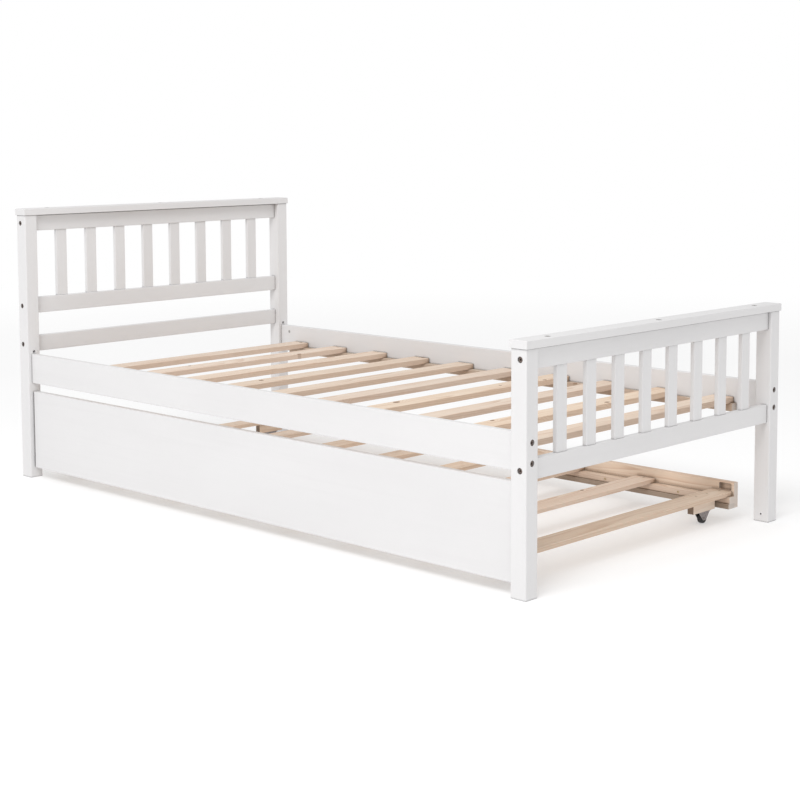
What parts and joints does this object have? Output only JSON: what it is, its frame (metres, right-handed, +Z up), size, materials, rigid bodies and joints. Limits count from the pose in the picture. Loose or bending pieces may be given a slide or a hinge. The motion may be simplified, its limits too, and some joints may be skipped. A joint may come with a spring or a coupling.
{
  "type": "trundle bed",
  "caption": "Single bed frame with spindle headboard, lower spindle footboard and slatted base, with a panel-fronted slatted trundle on small casters that rolls out from under one side.",
  "frame": {"origin": "on the floor under the middle of the bed, the bottom centre of its bounding box with the trundle pushed in", "axes": "+X from the headboard to the footboard, +Y from the side where the trundle comes out to the far side, +Z up"},
  "size_m": [2.026, 1.082, 0.831],
  "materials": {
    "white_paint": "satin white paint over pine, softly worn at the edges",
    "pine": "planed and clear sealed pine, matte",
    "bolt_steel": "black oxide, semi-matte",
    "nut_steel": "zinc plated",
    "screw_steel": "zinc plated",
    "fork_steel": "pressed zinc plated sheet",
    "wheel_plastic": "moulded nylon"
  },
  "bodies": {
    "bed_frame": {"barrel_nuts": "nut_steel", "bed_slat_01": "pine", "bed_slat_02": "pine", "bed_slat_03": "pine", "bed_slat_04": "pine", "bed_slat_05": "pine", "bed_slat_06": "pine", "bed_slat_07": "pine", "bed_slat_08": "pine", "bed_slat_09": "pine", "bed_slat_10": "pine", "cap_screws": "bolt_steel", "foot_bottom_rail": "white_paint", "foot_cap": "white_paint", "foot_post_far": "white_paint", "foot_post_near": "white_paint", "foot_spindles": "white_paint", "foot_top_rail": "white_paint", "frame_screws": "screw_steel", "head_cap": "white_paint", "head_lower_rail": "white_paint", "head_middle_rail": "white_paint", "head_post_far": "white_paint", "head_post_near": "white_paint", "head_spindles": "white_paint", "head_top_rail": "white_paint", "rail_bolts": "bolt_steel", "side_rail_far": "white_paint", "side_rail_near": "white_paint", "slat_ledger_far": "pine", "slat_ledger_near": "pine"},
    "trundle": {"caster_axles": "fork_steel", "caster_block_front_foot": "pine", "caster_block_front_head": "pine", "caster_block_rear_foot": "pine", "caster_block_rear_head": "pine", "caster_fork_front_foot": "fork_steel", "caster_fork_front_head": "fork_steel", "caster_fork_rear_foot": "fork_steel", "caster_fork_rear_head": "fork_steel", "caster_screws": "screw_steel", "trundle_ledger_front": "pine", "trundle_ledger_rear": "pine", "trundle_panel": "white_paint", "trundle_rear_board": "pine", "trundle_screws": "screw_steel", "trundle_slat_1": "pine", "trundle_slat_2": "pine", "trundle_slat_3": "pine", "trundle_slat_4": "pine", "trundle_slat_5": "pine", "trundle_slat_6": "pine", "trundle_slat_7": "pine", "trundle_slat_8": "pine", "trundle_strip_front": "pine", "trundle_strip_rear": "pine"},
    "wheel_front_head": {"caster_wheel_front_head": "wheel_plastic"},
    "wheel_front_foot": {"caster_wheel_front_foot": "wheel_plastic"},
    "wheel_rear_head": {"caster_wheel_rear_head": "wheel_plastic"},
    "wheel_rear_foot": {"caster_wheel_rear_foot": "wheel_plastic"}
  },
  "joints": [
    {"name": "trundle_slide", "type": "slide", "parent": "bed_frame", "child": "trundle", "axis": [0, -1, 0], "range_m": [0, 1.05]},
    {"name": "front_head_wheel_spin", "type": "hinge", "parent": "trundle", "child": "wheel_front_head", "pos_m": [-0.879, -0.416, 0.015], "axis": [1, 0, 0], "continuous": true},
    {"name": "front_foot_wheel_spin", "type": "hinge", "parent": "trundle", "child": "wheel_front_foot", "pos_m": [0.879, -0.416, 0.015], "axis": [1, 0, 0], "continuous": true},
    {"name": "rear_head_wheel_spin", "type": "hinge", "parent": "trundle", "child": "wheel_rear_head", "pos_m": [-0.879, 0.373, 0.015], "axis": [1, 0, 0], "continuous": true},
    {"name": "rear_foot_wheel_spin", "type": "hinge", "parent": "trundle", "child": "wheel_rear_foot", "pos_m": [0.879, 0.373, 0.015], "axis": [1, 0, 0], "continuous": true}
  ],
  "couplings": [
    {"joint": "front_head_wheel_spin", "follows": "trundle_slide", "rad_per_m": 66.667},
    {"joint": "front_foot_wheel_spin", "follows": "trundle_slide", "rad_per_m": 66.667},
    {"joint": "rear_head_wheel_spin", "follows": "trundle_slide", "rad_per_m": 66.667},
    {"joint": "rear_foot_wheel_spin", "follows": "trundle_slide", "rad_per_m": 66.667}
  ]
}
